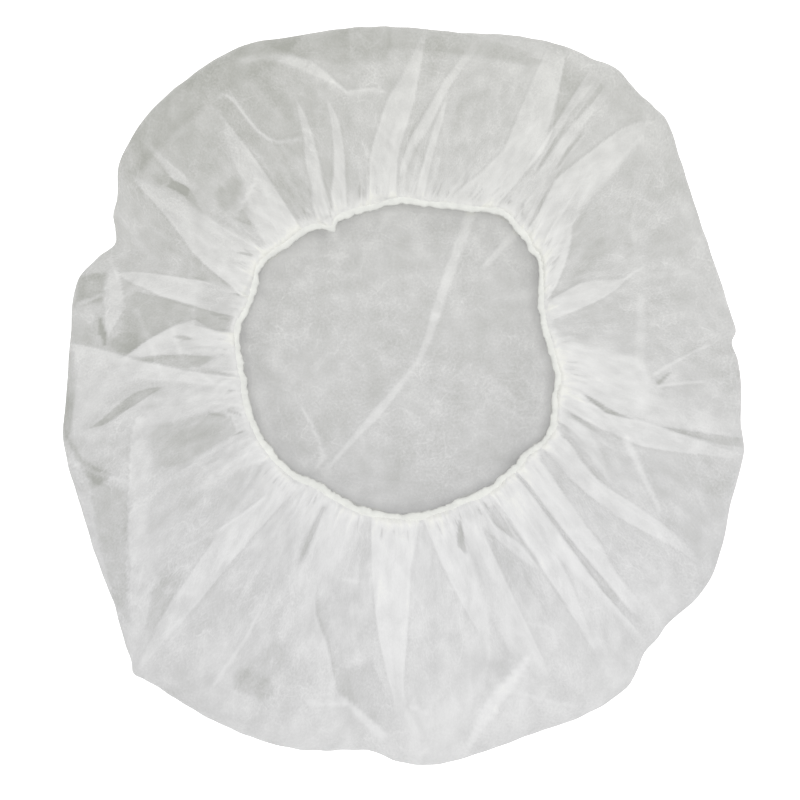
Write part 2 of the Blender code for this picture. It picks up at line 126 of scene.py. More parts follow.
FOLDS = (
    # tone: over 0 whiter than bare cloth, under 0 greyer, which is painted shade in the gaps and grooves
    # between pleats and on the rim where it turns from the light; rise in millimetres; which side is crisp
    # (low, high or both) or else how its sides fade (soft or faint); then stations outwards, each
    # (millimetres from the mouth's middle, low bearing, high bearing)
    (0.85, 0.8, "faint", (77.5, -16, 10), (88.5, -12, 6), (98, -11, 4), (108, -12.5, 3), (117.5, -13, 1),
     (125, -12, -3)),
    (0.65, 0.8, "both", (78.5, 14.5, 21.5), (88.5, 15.3, 22.3), (98, 16, 22.8), (105.5, 16.8, 21.6),
     (113, 17.9, 20.4), (118.5, 19.2, 19.8)),
    (0.65, 1.4, "both", (80, 22, 44), (86, 25, 44.5), (93, 28.8, 45.2), (101, 33, 46.3), (108, 37.4, 47.7),
     (113, 38.6, 48.2)),
    (0.65, 1.4, "high", (113, 38.6, 48.2), (117.5, 39.6, 48.8), (128.5, 40, 48), (142, 40.8, 47),
     (157, 41.8, 46), (166.5, 42, 44.6), (175, 41.8, 42.2)),
    (0.12, 0.4, "soft", (95.5, 48, 53), (113, 49, 51.8), (127.5, 49.8, 51.5), (147, 49, 51.5),
     (171.5, 48.5, 51)),
    (0.3, 0.5, "both", (128.5, 51.3, 53.2), (139.5, 51.4, 53.5), (152, 51.5, 53), (169, 51.3, 52.6)),
    (0.4, 0.5, "both", (115, 54, 56), (130, 54.4, 56), (147, 54.9, 56.2), (169, 54.5, 56.3)),
    (0.45, 1.4, "both", (86.5, 57, 71), (92, 57, 69), (98, 56.5, 66.6), (105.5, 56, 64.8), (115, 55.4, 63),
     (125, 55, 63.4), (135, 55.8, 63.8), (144.5, 57.6, 64), (154.5, 59, 64.1), (169, 60.8, 64.2),
     (172.5, 62, 64)),
    (0.65, 0.6, "both", (81.5, 80.7, 83.5), (93, 80.4, 82.6), (103, 80, 82), (117.5, 79.3, 80.8),
     (129.5, 79, 79.6)),
    (0.6, 1, "both", (91, 87.7, 89.2), (98, 86.3, 88.5), (105.5, 84.7, 87.2), (115, 82, 85),
     (125, 80.6, 82.8), (135, 79.3, 81), (147, 77.3, 78.9), (159, 75.2, 76.8)),
    (0.65, 1.4, "both", (80, 90, 99.5), (90.5, 90.1, 98.7), (98, 89.9, 97.8), (105.5, 89, 96.6),
     (115, 87.5, 94.4), (127.5, 86.1, 92.2), (139.5, 85.6, 89), (149.5, 85.2, 87.2), (160.5, 84.8, 85.6)),
    (0.75, 0.8, "both", (79.5, 108, 113), (88.5, 106.4, 111.4), (93.5, 105.8, 109.6), (98, 104.9, 108.4),
     (108, 104, 106.6), (120, 103.6, 105.5), (131.5, 104.6, 105.2)),
    (0.7, 1, "both", (78.5, 113.5, 120), (88.5, 113, 118), (95.5, 112.3, 116), (105.5, 111.3, 115),
     (117.5, 110.5, 112.8), (128, 110.5, 111.9), (136, 110.9, 111.3)),
    (0.8, 1.2, "low", (79.5, 126, 140), (88.5, 125.8, 138.6), (98, 125.3, 136.6), (105.5, 125.2, 134),
     (115, 125.2, 131), (127.5, 125.2, 129.5), (138.5, 125.4, 127.5), (146, 125.6, 126.1)),
    (0.45, 0.4, "both", (133, 139.6, 140.4), (138, 138.8, 141), (143, 139, 141), (150, 138.9, 140.3),
     (157, 138.8, 139.7), (162, 138.9, 139.3)),
    (0.7, 1.4, "high", (81.5, 138, 158), (88.5, 140, 156), (98, 141, 154.6), (105.5, 141.5, 153.4),
     (113, 142, 152.2), (120, 142.9, 150.5), (127.5, 143.2, 149), (135, 143.4, 147.8), (142, 143.9, 147),
     (149.5, 144.6, 146.3), (157, 145, 145.5)),
    (0.12, 0.3, "soft", (78.5, 158, 165), (93, 157.8, 165), (101, 157.8, 165)),
    (0.8, 1.1, "both", (101, 157.6, 165), (110.5, 158.8, 165), (120, 159.8, 164.8), (127.5, 160.5, 164.2),
     (135, 161.3, 163.8), (142, 162.4, 163)),
    (0.72, 1.3, "low", (78.5, 170.6, 177.2), (90.5, 170.8, 178.3), (101, 168.6, 178.3), (109, 171, 178.4),
     (117.5, 173.8, 179), (125, 176.3, 180), (131.5, 178.8, 180.6), (135.5, 179.6, 181)),
    (0.6, 0.5, "low", (80, 186, 189.5), (90, 184.5, 188.5), (100, 183.2, 187), (111.5, 181.8, 185.4),
     (127.5, 180, 184.5), (141.5, 178.2, 188), (152, 177.5, 191), (160, 177.1, 192)),
    (0.15, 0.8, "soft", (78.5, 186, 197), (93, 185, 196), (105.5, 184, 195.5), (118, 182.5, 195),
     (132, 180, 195)),
    (-1.1, -0.3, "both", (101, 173.8, 174.3), (105, 173.4, 174.7), (110, 173.8, 174.2)),
    (0.2, 0.5, "soft", (88.5, 187, 194.5), (98, 187, 195), (106, 188, 194)),
    (0, 0.7, "both", (80, 207.5, 210), (90.5, 207, 209.8), (100.5, 207.2, 209.2), (110.5, 206.8, 208.6),
     (120, 206.3, 207.6), (133.5, 206.3, 207)),
    (0.42, 0.7, "soft", (78.5, 210, 218.5), (88.5, 210.6, 215.7), (98, 211.2, 214.5), (109, 212, 213.8),
     (118.5, 212.6, 213.2)),
    (0.42, 0.9, "low", (126, 193, 198), (130, 192, 203), (135.4, 196, 207.1), (142.2, 202.9, 211.2),
     (150, 208.5, 216), (158, 213.6, 220.8), (163.2, 216.9, 222.3), (174, 221.2, 225.3), (186, 226, 228.5)),
    (0.6, 1.5, "high", (78.5, 219.5, 231.6), (88.5, 222.5, 231.6), (98, 224.6, 231.2), (108, 224.1, 230.9),
     (118, 223.5, 230.7), (126, 223.5, 230.6)),
    (0.45, 1.2, "both", (124, 224.4, 230.6), (134, 225.2, 230.6), (143.5, 225.9, 230.7),
     (154.5, 226.6, 230.8), (163, 227.1, 230.7), (172, 227.8, 230.5), (184, 228.8, 230.5),
     (196, 229.7, 230.3)),
    (0.25, 0.6, "soft", (77.5, 232.5, 243), (90.5, 232.5, 242.6), (103, 232, 242.4), (115, 232, 241)),
    (0.4, 0.8, "soft", (77.5, 244.7, 257), (88.5, 244.9, 256), (100.5, 245, 255.3), (113, 245, 255),
     (120.5, 246, 254.6)),
    (0.24, 1.4, "high", (118, 245.5, 250.5), (125, 246.5, 251.3), (130.5, 247.5, 252.3), (137, 249, 254.2),
     (143, 250.5, 256), (150, 252, 257.4), (157, 253.5, 258.5), (164, 255.5, 259.1), (170, 258.2, 259.5)),
    (0.6, 1.2, "both", (76.5, 260.5, 278), (90, 262, 276), (102, 263, 273.8), (118, 264.6, 272.9),
     (134, 266.1, 272.2), (150.5, 267.8, 271.4), (162, 269, 271.2), (175, 270, 271.8)),
    (0.4, 1, "low", (76.5, 279, 291), (90.5, 281, 288.2), (103, 282.5, 290.5), (113, 283.8, 290.5),
     (122.5, 284.8, 289.9), (132.5, 286, 289.6), (139, 286.8, 289.2)),
    (0.3, 1, "high", (77.5, 291.6, 299), (93, 291.4, 296.8), (108, 291.4, 296.3), (127.5, 291, 296.1),
     (147, 291.5, 296), (162, 293, 296), (172.5, 294, 295.6)),
    (0.3, 0.8, "high", (87.5, 297.6, 300.6), (93, 298.3, 300.6), (100.5, 299.3, 302.2), (110.5, 301.2, 304),
     (120.5, 303.2, 304.3)),
    (0.7, 1, "low", (77.5, 304.8, 316), (90.5, 305.4, 315.4), (105.5, 305.2, 313.8), (117.5, 305.2, 313.1),
     (125.5, 305, 312.6)),
    (0.45, 0.8, "both", (120.5, 304.8, 309.4), (135, 304.8, 308.2), (147, 304.6, 307), (158, 304.4, 305.8),
     (174, 304, 304.4)),
    (0.75, 1, "high", (117.5, 309, 313), (135, 309.5, 312.3), (149.5, 310, 311.7), (164.5, 310.5, 311.5),
     (178.5, 310.8, 311.6)),
    (0.68, 1.2, "both", (77.5, 317, 331), (86, 316.8, 325), (93, 315.9, 323.5), (103, 315, 321.5),
     (113, 314.4, 320), (122.5, 314, 318.7), (132.5, 313.7, 318), (142, 313.5, 316.8), (152, 313.3, 315.7),
     (162, 313, 315.2), (170.5, 313, 315)),
    (0.55, 1.3, "both", (78.5, 329, 338), (88.5, 328.5, 336), (95.5, 326.8, 333.8), (103, 325.6, 331.4),
     (110.5, 325, 329.7), (120, 324.7, 328.8), (132.5, 324.6, 328.6), (147, 325.2, 328.5),
     (162, 325.9, 327.9), (174, 326.1, 326.9), (179, 326.2, 326.4)),
    (0.45, 0.7, "soft", (78.5, 339.6, 345), (90.5, 338, 341.8), (98, 336, 340.3), (105.5, 333.6, 338),
     (112, 331.8, 334.6)),
    (0.65, 1.3, "both", (78.5, 345, 352), (90.5, 343.4, 350), (98, 342.2, 347.6), (104.5, 341.3, 345.8),
     (115, 341, 346), (127.5, 340.6, 345.9), (137.5, 341.3, 345.6), (147, 342, 345.3), (157, 342.8, 345),
     (172.5, 343.7, 344.8)),
    (0.35, 0.6, "soft", (117, 345.6, 353), (130, 345.4, 352), (140, 346.1, 352), (152, 346.7, 350.5),
     (168, 347, 349.2)),
    (-0.2, -0.2, "soft", (82.5, 8, 14.5), (98, 5, 15.5), (115, 4, 17)),
    (-0.4, -0.6, "soft", (79.5, 21, 22.5), (86, 21.6, 25.2), (93, 22.5, 28.8), (101, 22.8, 33),
     (108, 21.4, 37), (117.5, 20.2, 39.2)),
    (-0.12, 0, "soft", (117.5, 21, 39), (130, 22, 40), (147, 24, 41), (164.5, 30, 41.5)),
    (-0.45, -0.7, "both", (96, 45.5, 46.2), (100.5, 46.1, 47.5), (104.5, 47, 47.9), (111, 47.8, 48.5),
     (123.5, 49, 49.6)),
    (-0.15, -0.4, "both", (126.5, 48, 48.5), (142, 47.1, 47.8), (163.5, 45.6, 46.4)),
    (-0.9, -0.4, "both", (122.5, 50, 50.6), (133.5, 50.4, 51.2), (143, 50.3, 51)),
    (-0.4, -0.8, "both", (115.5, 53.3, 53.7), (125, 53.4, 54.1), (137.5, 53.8, 54.8), (144, 54.1, 54.7)),
    (-0.45, -0.3, "both", (146, 53, 53.7), (171.5, 52.7, 53.8)),
    (-0.6, -0.6, "both", (133.5, 56.2, 56.5), (142, 56.2, 57.7), (152, 56.3, 59), (162, 56.5, 60.1),
     (170.5, 56.5, 61)),
    (-0.1, 0, "soft", (86, 72, 79), (108, 66, 78.5), (127.5, 64.8, 78), (152, 64.6, 76)),
    (-0.12, -0.5, "both", (94.5, 88.8, 89.5), (105.5, 87.3, 88.3), (115, 85.1, 86.1), (125, 82.9, 83.7),
     (141, 80.2, 80.7)),
    (-0.15, -0.5, "both", (90, 111.6, 112.4), (98, 109, 111.8), (105.5, 107, 111), (113.5, 106.2, 110.4)),
    (-0.3, -0.2, "soft", (117.5, 106, 110.2), (127.5, 106, 110.2), (147, 107, 110.4)),
    (-0.1, -0.3, "soft", (84.5, 120.5, 125), (90.5, 117, 124.5), (98, 116, 124.2), (105.5, 115.5, 124.6),
     (115, 114, 125)),
    (-0.32, -0.2, "soft", (118.5, 113, 119), (128.5, 112.4, 120.7), (142, 112, 121.4), (156, 113, 122)),
    (-0.4, -0.3, "soft", (126.5, 121.6, 125), (139.5, 122, 125.2), (154.5, 122.6, 126)),
    (-0.35, -0.2, "soft", (128.5, 130, 139), (142, 128, 138.4), (159.5, 127, 138.4)),
    (-0.6, -0.3, "soft", (111, 134, 139.6), (115.5, 131, 139.2), (121, 131.6, 138)),
    (-0.65, -0.5, "both", (97.5, 136.6, 137.4), (102, 136, 138.6), (106.5, 135.4, 139.2)),
    (-1.4, -0.3, "both", (87.5, 143.6, 144.6), (94, 145.4, 146.2)),
    (-0.5, -0.4, "both", (121.5, 142.3, 142.8), (128.5, 140.8, 142.7), (132.5, 140.3, 142.4),
     (138, 140.6, 142.9), (147, 141.6, 143.7)),
    (-1, -0.5, "both", (131.5, 140.3, 142.4), (136, 140.6, 142.4), (141, 141.2, 143)),
    (-0.4, -0.3, "soft", (143.5, 140.4, 143.8), (152, 140, 144.6), (161, 140, 145.2)),
    (-0.35, -0.5, "both", (91.5, 155.4, 156.2), (98, 154.7, 157.2), (105.5, 153.7, 157.9),
     (113.5, 152.7, 158.4)),
    (-0.1, -0.1, "soft", (117.5, 151.5, 159), (128.5, 149.5, 160), (139.5, 148, 161)),
    (-0.9, -0.8, "both", (83, 165, 170.3), (90.5, 165.1, 170.7), (102, 165.2, 170.2)),
    (-0.7, -0.7, "both", (104.5, 165.2, 168.8), (110.5, 165, 171.2), (117.5, 165, 173.8), (125, 165, 176.3),
     (131.5, 165.2, 178.8), (135, 166.5, 179)),
    (-0.55, -0.5, "both", (126.5, 174, 177), (131.5, 174, 178.6), (136.5, 174.5, 178.4), (141, 176.2, 177)),
    (-0.9, -0.2, "soft", (148, 163, 169), (156, 164, 170), (161, 165, 171)),
    (-0.9, -0.5, "both", (90, 178.9, 179.7), (97, 178.7, 182.2), (104, 178.5, 182), (112, 178.7, 181.3),
     (120, 179, 180.5), (127, 179.4, 179.9)),
    (-1.15, -0.8, "both", (116, 186.6, 186.9), (122.5, 186.5, 188.2), (128.5, 187, 189.5),
     (135, 188.3, 190.6), (142, 190, 191.9), (148.5, 191.5, 192.6), (153.5, 192.3, 192.6)),
    (-0.6, -0.5, "soft", (86, 198, 204.5), (93, 196, 205.4), (100.5, 195.5, 205.8), (110.5, 195.2, 206),
     (120, 195.4, 205.8), (127.5, 197, 204)),
    (-0.3, -0.2, "soft", (92, 199, 203.5), (103, 198, 202.5), (113.5, 197.6, 201.5)),
    (-0.25, -0.2, "soft", (84.5, 216.4, 219.4), (95.5, 215.6, 221), (105.5, 215.4, 222), (115, 214.6, 221)),
    (-0.55, -0.5, "both", (147.5, 205.6, 208.6), (154.5, 203, 211.2), (161, 200.6, 214.6), (169, 209, 218.3),
     (176.5, 216, 221.4), (184.5, 221.6, 224.6)),
    (-0.45, -0.2, "both", (147, 222, 225.4), (157, 221.4, 226.4), (169, 224.4, 227.4), (179, 226.6, 228)),
    (0.35, -0.3, "soft", (80, 231, 233), (98, 230.9, 232.8), (118, 230.6, 232.4)),
    (-0.55, -0.5, "both", (80, 243, 244), (90.5, 243, 244.6), (100.5, 243.3, 244.7), (109, 243.7, 244.5)),
    (-0.1, -0.2, "soft", (127.5, 237.4, 239.4), (137.5, 236, 240.6), (145.5, 237, 239.4)),
    (-0.35, -0.2, "soft", (149.5, 246, 249), (164.5, 244, 249.6), (177.5, 243.6, 247)),
    (-0.7, -0.2, "soft", (168, 243.5, 248.5), (174, 242.5, 250), (180, 243.5, 248.5)),
    (-0.45, -0.3, "low", (124, 251.5, 254), (131, 252.5, 255.4), (137, 254.3, 257), (143, 256.1, 259),
     (150, 257.5, 260.4), (157, 258.6, 261)),
    (-0.14, -0.3, "soft", (80, 256.6, 261.2), (90.5, 255.6, 261.8), (105.5, 255.4, 262.6),
     (122.5, 256.3, 264)),
    (-0.5, -0.2, "low", (150, 263, 265.5), (154, 259.6, 266.8), (160, 259.2, 267.8), (164.5, 259.6, 268.4),
     (169.5, 262.5, 269), (175.5, 265.2, 269.5), (182, 267.8, 269.6)),
    (-0.3, -0.2, "soft", (157, 259, 261.5), (162, 259.2, 262.2), (167, 260.3, 262.4)),
    (-1.4, -0.5, "both", (84, 291.2, 292), (90.5, 289, 291), (95.5, 288, 290.3), (100.5, 289.2, 290)),
    (-0.38, -0.4, "both", (134, 289.6, 290.2), (142, 288.6, 290.7), (152, 287.6, 291.2), (159.5, 286, 292),
     (164.5, 285.3, 289.5), (168.5, 285, 286)),
    (-0.45, -0.4, "both", (93, 296.9, 297.6), (100.5, 296.3, 299.2), (110.5, 296.3, 301.1),
     (120, 296.2, 303), (125.5, 296.2, 304.4)),
    (-0.2, -0.2, "soft", (125.5, 296.3, 304.6), (137.5, 296.3, 304.6), (149.5, 296.3, 304.4)),
    (-0.8, -0.5, "both", (85, 302, 304), (93, 300.7, 304), (98, 301.5, 303.8), (103, 302.6, 303.6)),
    (-0.5, -0.4, "both", (93, 304.2, 304.8), (104, 304.2, 304.7), (115, 304, 305), (121, 304.4, 304.9)),
    (-0.4, -0.9, "both", (80, 316.1, 316.8), (88.5, 315.5, 316.7), (98, 314.6, 315.7), (108, 313.9, 314.9),
     (117.5, 313.2, 314.3), (127.5, 312.7, 313.8), (137.5, 312.1, 313.5), (147, 311.8, 313.3),
     (157, 311.6, 313), (166.5, 311.6, 312.8), (176, 311.5, 313.4)),
    (-0.2, -0.4, "soft", (84.5, 325.5, 329), (90.5, 324, 328.6), (98, 322.2, 326.8), (105.5, 321.6, 325.2),
     (113, 320.8, 324.8), (122.5, 319.2, 324.5)),
    (-0.35, -0.6, "both", (83.5, 337.6, 339), (89, 336.3, 338.6), (95.5, 333.9, 336.2), (103, 331.5, 334),
     (110.5, 329.8, 331.8), (117.5, 328.9, 330.6), (123.5, 328.6, 329.6)),
    (-0.1, -0.3, "both", (105, 338.2, 340.2), (111, 334.8, 340.4), (117.5, 331, 339.8), (122.5, 330, 337.4)),
    (-0.75, -0.6, "both", (90, 342, 343), (98, 340.5, 341.8), (104.5, 339.8, 340.6)),
    (-0.2, -0.3, "soft", (126.5, 336.5, 340.4), (137.5, 332, 341), (147, 330, 341.4), (162, 328.6, 342.4),
     (174, 328, 343)),
    (-1.3, -0.9, "both", (94, 349, 349.6), (100.5, 347.2, 348.4), (105.5, 345.9, 347.2), (112, 345.6, 346.4),
     (119, 345.8, 346)),
    (-0.75, -0.7, "both", (134.5, 345.7, 345.9), (145, 345.5, 346.3), (155, 345.4, 346.7), (165, 345.5, 347),
     (175, 345.7, 347.3)),
    (0.5, 0.4, "both", (136, 168.6, 169.6), (138, 166.5, 171.6), (140, 164.5, 173.4), (142.4, 162.9, 175.8),
     (144, 162, 173.1), (145.7, 161.4, 170.3), (147.7, 160.8, 166.6), (149.5, 160.4, 163)),
    (-0.4, 0, "high", (131, 177, 179.4), (141.5, 175, 178), (148, 173.6, 177.6), (156, 172.4, 177.1),
     (162, 171.8, 176.9)),
    (-0.1, -0.2, "soft", (137.5, 353, 361), (152, 351, 364), (165.5, 351, 366)),
    # Painted shade: the rows from here on darken the rolled rim on its upper and left side, where it turns
    # away from the light.
    (-0.6, 0, "soft", (153, 78, 91.6), (158, 66, 91.6), (164, 63, 91.8)),
    (-0.6, 0, "soft", (147, 92, 101), (156, 91, 108), (165.5, 91, 112)),
    (-0.65, 0, "soft", (156, 113, 144), (162, 108, 143), (172.5, 104, 140)),
    (-0.2, 0, "soft", (163.5, 42, 56), (171.5, 42, 56), (177.5, 44, 56)),
    (-1.2, -0.3, "soft", (151.5, 201, 202.2), (154, 200.2, 202.8), (158, 198.9, 203), (160.5, 197.8, 202.4),
     (162.3, 196.6, 201), (164.2, 194.4, 198.5), (166.5, 192, 194.5)),
    (-0.9, 0, "both", (158.5, 178.5, 186), (161, 178.5, 189), (164, 182, 192.5), (168, 188, 194)),
)
CREASES = (
    # tone and rise as above, a tone under 0 being painted shade along a groove; width in millimetres at its
    # two ends, then places (millimetres from the mouth's middle, bearing)
    (0.45, 0.5, 1.4, 1.4, (117.5, 19.4), (122.5, 20.2), (129.5, 20.8)),
    (0.9, 0.9, 1.6, 1.8, (132, 92), (133, 96), (133, 100.5), (137.5, 102), (142, 103.5)),
    (0.75, 0.9, 2.4, 6.2, (139, 102.6), (145, 104.6), (151, 107)),
    (0.75, 0.9, 6.2, 2.0, (150.2, 106.7), (157, 109.8), (162.5, 113.5), (166, 118)),
    (0.9, 0.7, 1.5, 1.6, (117.5, 111.5), (118.5, 114), (119.5, 116.5), (121.5, 118.6), (125, 120),
     (131.5, 121.3), (142, 121.9), (149, 122), (155, 122.8), (157, 125)),
    (0.7, 0.6, 1.5, 1.6, (112.5, 127.2), (110, 130.5), (107, 136), (105, 139.4)),
    (0.4, 0.4, 1.5, 1.6, (113.5, 151.5), (110.5, 156), (109, 158.6)),
    (0.3, 0.4, 1.5, 1.5, (103, 165.4), (102, 168), (101, 170.4)),
    (1.0, 0.4, 1.4, 2.2, (147.5, 167.2), (153, 168.7), (160.5, 170.4)),
    (0.65, 0.6, 2.6, 1.6, (166.5, 197.6), (159.5, 200), (152, 202.2), (145, 204.4)),
    (0.5, 0.5, 1.4, 1.2, (91, 226.2), (105, 225.1), (120, 223.7), (132, 222.3), (143, 220.8)),
    (0.5, 0.4, 1.4, 2.0, (127, 241.1), (140, 241.4), (154.5, 241.5), (170, 241), (187, 240.5)),
    (0.4, 0.4, 1.5, 1.5, (112, 253.8), (110.5, 258), (108.5, 264)),
    (0.5, 0.6, 1.4, 1.6, (175, 254.5), (171.5, 258.5), (170.8, 262.6)),
    (0.45, 0.3, 2.8, 5.0, (167.7, 260.1), (169.9, 261.7), (173.7, 263.5), (178.1, 265.3), (183.1, 266.9),
     (187, 268.4)),
    (0.5, 0.4, 1.4, 1.4, (170.2, 272), (172, 273.6), (174.8, 275.3)),
    (-0.9, -0.2, 1.0, 1.0, (93.5, 49), (96, 50.2), (99, 51)),
    (0.4, 0.4, 1.2, 1.4, (93, 274.5), (86, 276.2), (79, 277.8)),
    (0.7, 0.3, 2.2, 7.5, (158.5, 294.2), (162.5, 292.3), (167, 289.7), (173.5, 286.3), (178, 284.7)),
    (0.6, 0.3, 7.0, 2.6, (175, 285.8), (180, 284), (187, 282), (194, 280.2)),
    (0.4, 0.5, 1.5, 1.8, (168.5, 286.6), (173.5, 290), (182.5, 293.4), (192, 297.4)),
    (0.45, 0.4, 0.8, 1.0, (111, 352.2), (102, 353.6), (94, 356.5)),
    (0.5, 0.4, 0.8, 1.0, (91, 337.4), (100.5, 334.4), (109, 331)),
    (0.5, 0.4, 0.8, 1.2, (81, 141), (90.5, 141.6), (100.5, 142.4), (115, 143.2)),
    (0.3, 0.4, 1.6, 1.6, (147, 31), (142, 34), (132.5, 30), (128.5, 24)),
    (0.45, 0.5, 1.0, 1.2, (126.5, 60.2), (138.5, 59.4)),
    (0.35, 0.4, 1.5, 1.6, (143, 296), (152, 300), (162, 299)),
    (0.8, 0.4, 1.6, 1.0, (127, 354.2), (136, 355), (144, 355.6), (152, 356)),
    (-1.2, -0.3, 1.8, 1.0, (127.5, 354.6), (129.5, 355.4), (132.5, 356.9), (134, 357.4)),
    (0.7, 0.4, 1.8, 1.0, (124.5, 356.2), (132, 358.6), (140, 360.4), (146, 361.7), (155, 362.9)),
    (0.35, 0.3, 5.0, 4.0, (119, 357), (119, 363), (121, 369), (124, 376)),
    (0.8, 0.4, 3.6, 1.8, (117, 341.8), (121, 339.6), (127, 337.3), (134.8, 334.1), (142, 332), (151, 329.5)),
    (-1.6, -0.4, 1.2, 3.4, (147.8, 171.6), (146, 173.6), (144.5, 175.1)),
    (-1.6, -0.4, 3.4, 1.2, (144.9, 174.6), (143.9, 175.9), (143, 177.2)),
    (-0.8, -0.2, 1.4, 1.6, (96.7, 195.6), (92, 196.9), (87.9, 198.5)),
    (-0.9, -0.2, 1.2, 1.4, (86.9, 196.4), (83.5, 198), (80.6, 199.5)),
)
CROWN_CREASES = (
    # tone, rise and widths as above, then places as shares (across, along) from the mouth's middle
    (0.75, 0.3, 4.6, 5.0, (0.230, 0.520), (0.200, 0.400), (0.138, 0.226), (0.098, 0.105)),
    (0.70, 0.3, 4.8, 2.4, (0.110, 0.140), (0.088, 0.068), (0.066, 0.016), (0.056, -0.002)),
    (0.65, 0.3, 2.2, 4.4, (0.064, 0.010), (0.036, -0.030), (0.006, -0.069), (-0.062, -0.152)),
    (0.70, 0.3, 4.4, 1.2, (-0.050, -0.137), (-0.107, -0.200), (-0.178, -0.281), (-0.205, -0.312)),
    (0.75, 0.3, 2.2, 2.0, (0.40, 0.45), (0.333, 0.361), (0.234, 0.257)),
    (0.75, 0.2, 2.0, 2.0, (-0.274, -0.127), (-0.248, -0.172), (-0.226, -0.217), (-0.210, -0.268),
     (-0.237, -0.316)),
)
PAINTED_LIGHT_ON_BARE_CLOTH = (
    # bearing, tone of the bare cloth there: painted light and shade, lighter towards the cap's near end at
    # -Y, as if the light fell stronger there
    (0, 0.10), (30, 0.05), (70, 0.10), (95, -0.10), (116, -0.35), (140, -0.30), (165, -0.15), (190, 0.0),
    (215, 0.12), (240, 0.20), (277, 0.55), (300, 0.50), (335, 0.20),
)
PUCKERS = 160               # gathers round the hem
TUCKS = 260                 # random ridges, and random slits darkened with painted shade, beside the hem
NICKS = 90
TUCK_REACH = 60             # millimetres that a tuck can run out from the hem
CRUMPLES = 120              # on the brim, and on the crown
CROWN_CRUMPLES = 30
STREAKS = 0.11              # tone of the fine lines that run along each pleat
BRIGHT_LINE = 0.16          # tone just inside a pleat's crisp side, where the fold doubles the cloth, partly a painted highlight; and painted shadow just outside it
PAINTED_EDGE_SHADOW = 0.24
CRISP_SIDE = 0.5            # millimetres over which a pleat's side fades
SOFT_SIDE = 2.4
FAINT_SIDE = 7
PLEAT_TIP = 8               # millimetres over which a long pleat ends
FADES_FROM, FADES_OVER = 148, 30                # millimetres: pleats look fainter from there out
UNDER_HEM = 86              # pleats that start nearer the mouth's middle than this come from under the hem
HEM_AT = 76                 # the hem's mean distance from the mouth's middle
CREASE_SIDE = 0.0011
CREASE_TIP = 0.08           # share of a crease's length over which each end fades
LOOSE_WAVES = (
    # height, wavelengths and seed of the brim's loose swells and of its finer ripples
    (0.0007, (0.050, 0.041, 0.036, 0.030, 0.027), 3),
    (0.00022, (0.014, 0.012, 0.011, 0.0095, 0.0085, 0.008), 4),
)
FOLDS_RISE_OVER = 2.0       # millimetres from the sheet's edge over which its folds reach their height
GATHERS_FROM = 0.43         # millimetres from the sheet's edge to where its gathers begin
PUCKER_RISE = 0.0008
PUCKER_REACH = 1.0
BARE_FROM = 12              # millimetres from the hem over which the painted light and shade on the bare cloth come in
GATHERED_TONE, GATHERED_REACH = 0.45, 14        # of crowded cloth round the hem
TURNED_TONE, TURNED_REACH = 0.85, 3.9           # of the edge that is turned in round the elastic
FOLD_TONES = (-1.9, 1.45)   # the greyest and whitest that folds may get
GREYEST, WHITEST = -1.7, 2.0                    # tones at the ends of the cloth's colours
CROWN_TONE = -0.08          # of the crown's bare cloth, seen through the mouth
CROWN_WAVE = 0.0008         # height of the crown's loose swells
CROWN_SETTLES = 0.03        # how far in from the rim the crown lies on the floor
EDGE_WAVE = 0.00015         # how far the rim strays from the outline
COLUMNS = 1200
CROWN_COLUMN_STEP = 4       # the crown and the lower half of the rim keep every fourth column
BRIM_STEPS = 58
BRIM_CROWDING = 1.12        # over 1 sets the brim's rings closer near the hem
RIM_STEPS = 16
OUTER_CROWN_STEPS = 6
INNER_CROWN_STEPS = 54
MOUTH_VIEW = 0.088          # the crown is finely meshed this far round the mouth's middle, where it shows
RIM_TURNS = np.radians(np.linspace(90, -90, RIM_STEPS + 1)[1:])
UPPER_RIM = RIM_TURNS > -0.01


def smooth_reach(rows, bearings):
    """Value at each bearing, on a smooth closed curve through a table's rows."""
    angles = np.array([row[0] for row in rows], float)
    reaches = np.array([row[1] for row in rows], float)
    count = len(rows)
    turn = np.mod(bearings, 360)
    last = np.searchsorted(angles, turn, side="right") - 1
    near = []
    for step in (-1, 0, 1, 2):
        place = last + step
        near.append((angles[place % count] + 360 * (place // count), reaches[place % count]))
    (a0, r0), (a1, r1), (a2, r2), (a3, r3) = near
    span = a2 - a1
    share = (turn - a1) / span
    slope_in = (r2 - r0) / (a2 - a0) * span
    slope_out = (r3 - r1) / (a3 - a1) * span
    square = share ** 2
    cube = share ** 3
    return ((2 * cube - 3 * square + 1) * r1 + (cube - 2 * square + share) * slope_in
            + (3 * square - 2 * cube) * r2 + (cube - square) * slope_out)


def chart(bearings, reaches):
    """Places across and along from the mouth's middle, in the units of the reaches."""
    turn = np.radians(bearings)
    return np.stack([np.cos(turn) * reaches, np.sin(turn) * reaches], axis=-1)


def box_of(points):
    """Middle and size of the box round places on the plan."""
    low = points.reshape(-1, 2).min(axis=0)
    high = points.reshape(-1, 2).max(axis=0)
    return (low + high) / 2, high - low


ALL_ROUND = np.arange(0, 360, 0.25)
outline_middle, outline_size = box_of(chart(ALL_ROUND, smooth_reach(OUTLINE, ALL_ROUND)))
cap_middle = np.array([(cad_low.x + cad_high.x) / 2, (cad_low.y + cad_high.y) / 2])
cap_size = np.array([cad_high.x - cad_low.x, cad_high.y - cad_low.y])
hem_low, hem_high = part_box("elastic_edge")
hem_height = (hem_low.z + hem_high.z) / 2


def placed(points):
    """Places in the outline's shares, as metres."""
    return cap_middle + (points - outline_middle) * cap_size / outline_size


